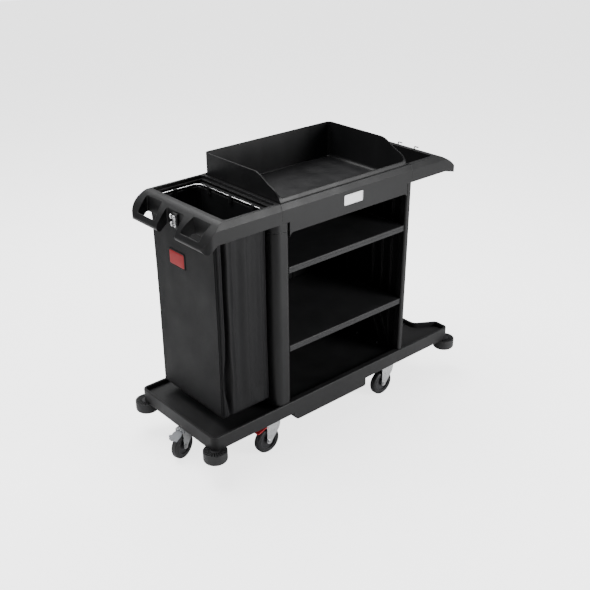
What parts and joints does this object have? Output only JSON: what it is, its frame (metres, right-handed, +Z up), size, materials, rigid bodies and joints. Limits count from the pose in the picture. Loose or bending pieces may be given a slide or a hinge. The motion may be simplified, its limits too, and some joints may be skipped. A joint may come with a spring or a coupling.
{
  "type": "housekeeping cart",
  "caption": "Housekeeping cart with a moulded deck on swivel casters, an open shelved cabinet, a walled top tray, a hung linen bag and a shallow bin between two pairs of hand grips.",
  "frame": {"origin": "on the floor, under the middle of the cart's outer box", "axes": "+X from the bag end to the bin end, -Y the cabinet's open front, +Z up"},
  "size_m": [1.5991, 0.637, 1.282],
  "materials": {
    "body_plastic": "fine-textured black moulded plastic",
    "deck_plastic": "fine-textured black moulded plastic",
    "shelf_plastic": "fine-textured black moulded plastic",
    "tray_plastic": "fine-textured black moulded plastic",
    "bumper_rubber": "matt black soft rubber",
    "tyre_rubber": "satin black rubber tread",
    "wheel_centre": "dark grey moulded wheel centre",
    "zinc_plate": "bright zinc plating",
    "bright_steel": "zinc-plated fastener",
    "bright_wire": "bright plated wire",
    "dark_steel": "black painted wire",
    "pedal_red": "red brake pedal",
    "pedal_grey": "grey brake pedal",
    "bag_fabric": "coated black woven fabric",
    "badge_red": "blank red badge",
    "plate_aluminium": "blank brushed plate"
  },
  "bodies": {
    "cart": {"back_panel": "body_plastic", "bag_badge": "badge_red", "bag_end_frame": "body_plastic", "bag_wire_frame": "bright_wire", "base_deck": "deck_plastic", "bin_end_frame": "body_plastic", "bumper_bag_back": "bumper_rubber", "bumper_bag_front": "bumper_rubber", "bumper_bin_back": "bumper_rubber", "bumper_bin_front": "bumper_rubber", "bumper_bolts": "bright_steel", "caster_bag_back_plate": "zinc_plate", "caster_bag_end_plate": "zinc_plate", "caster_bag_front_plate": "zinc_plate", "caster_bin_back_plate": "zinc_plate", "caster_bin_end_plate": "zinc_plate", "caster_bin_front_plate": "zinc_plate", "caster_bolts": "bright_steel", "front_apron": "body_plastic", "handle_hook_base": "body_plastic", "handle_hook_prongs": "bright_wire", "left_end_panel": "body_plastic", "linen_bag": "bag_fabric", "name_plate": "plate_aluminium", "panel_screws": "bright_steel", "rail_hooks": "dark_steel", "right_end_panel": "body_plastic", "shelf_lower": "shelf_plastic", "shelf_upper": "shelf_plastic", "snap_studs": "bright_steel", "top_tray": "tray_plastic"},
    "caster_bag_end_swivel": {"caster_bag_end_fork": "zinc_plate", "caster_bag_end_axle": "bright_steel"},
    "caster_bag_end_wheel": {"caster_bag_end_tyre": "tyre_rubber", "caster_bag_end_hub": "wheel_centre"},
    "caster_bag_end_pedal": {"caster_bag_end_pedal": "pedal_grey"},
    "caster_bag_front_swivel": {"caster_bag_front_fork": "zinc_plate", "caster_bag_front_axle": "bright_steel"},
    "caster_bag_front_wheel": {"caster_bag_front_tyre": "tyre_rubber", "caster_bag_front_hub": "wheel_centre"},
    "caster_bag_front_pedal": {"caster_bag_front_pedal": "pedal_red"},
    "caster_bag_back_swivel": {"caster_bag_back_fork": "zinc_plate", "caster_bag_back_axle": "bright_steel"},
    "caster_bag_back_wheel": {"caster_bag_back_tyre": "tyre_rubber", "caster_bag_back_hub": "wheel_centre"},
    "caster_bag_back_pedal": {"caster_bag_back_pedal": "pedal_red"},
    "caster_bin_front_swivel": {"caster_bin_front_fork": "zinc_plate", "caster_bin_front_axle": "bright_steel"},
    "caster_bin_front_wheel": {"caster_bin_front_tyre": "tyre_rubber", "caster_bin_front_hub": "wheel_centre"},
    "caster_bin_back_swivel": {"caster_bin_back_fork": "zinc_plate", "caster_bin_back_axle": "bright_steel"},
    "caster_bin_back_wheel": {"caster_bin_back_tyre": "tyre_rubber", "caster_bin_back_hub": "wheel_centre"},
    "caster_bin_end_swivel": {"caster_bin_end_fork": "zinc_plate", "caster_bin_end_axle": "bright_steel"},
    "caster_bin_end_wheel": {"caster_bin_end_tyre": "tyre_rubber", "caster_bin_end_hub": "wheel_centre"},
    "caster_bin_end_pedal": {"caster_bin_end_pedal": "pedal_grey"}
  },
  "joints": [
    {"name": "caster_bag_end_swivel", "type": "hinge", "parent": "cart", "child": "caster_bag_end_swivel", "pos_m": [-0.703, 0, 0.15], "axis": [0, 0, 1], "continuous": true},
    {"name": "caster_bag_end_spin", "type": "hinge", "parent": "caster_bag_end_swivel", "child": "caster_bag_end_wheel", "pos_m": [-0.73456, -0.00965, 0.0625], "axis": [-0.2924, 0.9563, 0], "continuous": true},
    {"name": "caster_bag_end_pedal", "type": "hinge", "parent": "caster_bag_end_swivel", "child": "caster_bag_end_pedal", "pos_m": [-0.7403, -0.0114, 0.1385], "axis": [0.2924, -0.9563, 0], "range_deg": [0, 12]},
    {"name": "caster_bag_front_swivel", "type": "hinge", "parent": "cart", "child": "caster_bag_front_swivel", "pos_m": [-0.392, -0.23, 0.15], "axis": [0, 0, 1], "continuous": true},
    {"name": "caster_bag_front_spin", "type": "hinge", "parent": "caster_bag_front_swivel", "child": "caster_bag_front_wheel", "pos_m": [-0.425, -0.23, 0.0625], "axis": [0, 1, 0], "continuous": true},
    {"name": "caster_bag_front_pedal", "type": "hinge", "parent": "caster_bag_front_swivel", "child": "caster_bag_front_pedal", "pos_m": [-0.431, -0.23, 0.1385], "axis": [0, -1, 0], "range_deg": [0, 12]},
    {"name": "caster_bag_back_swivel", "type": "hinge", "parent": "cart", "child": "caster_bag_back_swivel", "pos_m": [-0.392, 0.23, 0.15], "axis": [0, 0, 1], "continuous": true},
    {"name": "caster_bag_back_spin", "type": "hinge", "parent": "caster_bag_back_swivel", "child": "caster_bag_back_wheel", "pos_m": [-0.425, 0.23, 0.0625], "axis": [0, 1, 0], "continuous": true},
    {"name": "caster_bag_back_pedal", "type": "hinge", "parent": "caster_bag_back_swivel", "child": "caster_bag_back_pedal", "pos_m": [-0.431, 0.23, 0.1385], "axis": [0, -1, 0], "range_deg": [0, 12]},
    {"name": "caster_bin_front_swivel", "type": "hinge", "parent": "cart", "child": "caster_bin_front_swivel", "pos_m": [0.348, -0.23, 0.15], "axis": [0, 0, 1], "continuous": true},
    {"name": "caster_bin_front_spin", "type": "hinge", "parent": "caster_bin_front_swivel", "child": "caster_bin_front_wheel", "pos_m": [0.315, -0.23, 0.0625], "axis": [0, 1, 0], "continuous": true},
    {"name": "caster_bin_back_swivel", "type": "hinge", "parent": "cart", "child": "caster_bin_back_swivel", "pos_m": [0.348, 0.23, 0.15], "axis": [0, 0, 1], "continuous": true},
    {"name": "caster_bin_back_spin", "type": "hinge", "parent": "caster_bin_back_swivel", "child": "caster_bin_back_wheel", "pos_m": [0.315, 0.23, 0.0625], "axis": [0, 1, 0], "continuous": true},
    {"name": "caster_bin_end_swivel", "type": "hinge", "parent": "cart", "child": "caster_bin_end_swivel", "pos_m": [0.612, 0, 0.15], "axis": [0, 0, 1], "continuous": true},
    {"name": "caster_bin_end_spin", "type": "hinge", "parent": "caster_bin_end_swivel", "child": "caster_bin_end_wheel", "pos_m": [0.579, 0, 0.0625], "axis": [0, 1, 0], "continuous": true},
    {"name": "caster_bin_end_pedal", "type": "hinge", "parent": "caster_bin_end_swivel", "child": "caster_bin_end_pedal", "pos_m": [0.573, 0, 0.1385], "axis": [0, -1, 0], "range_deg": [0, 12]}
  ]
}
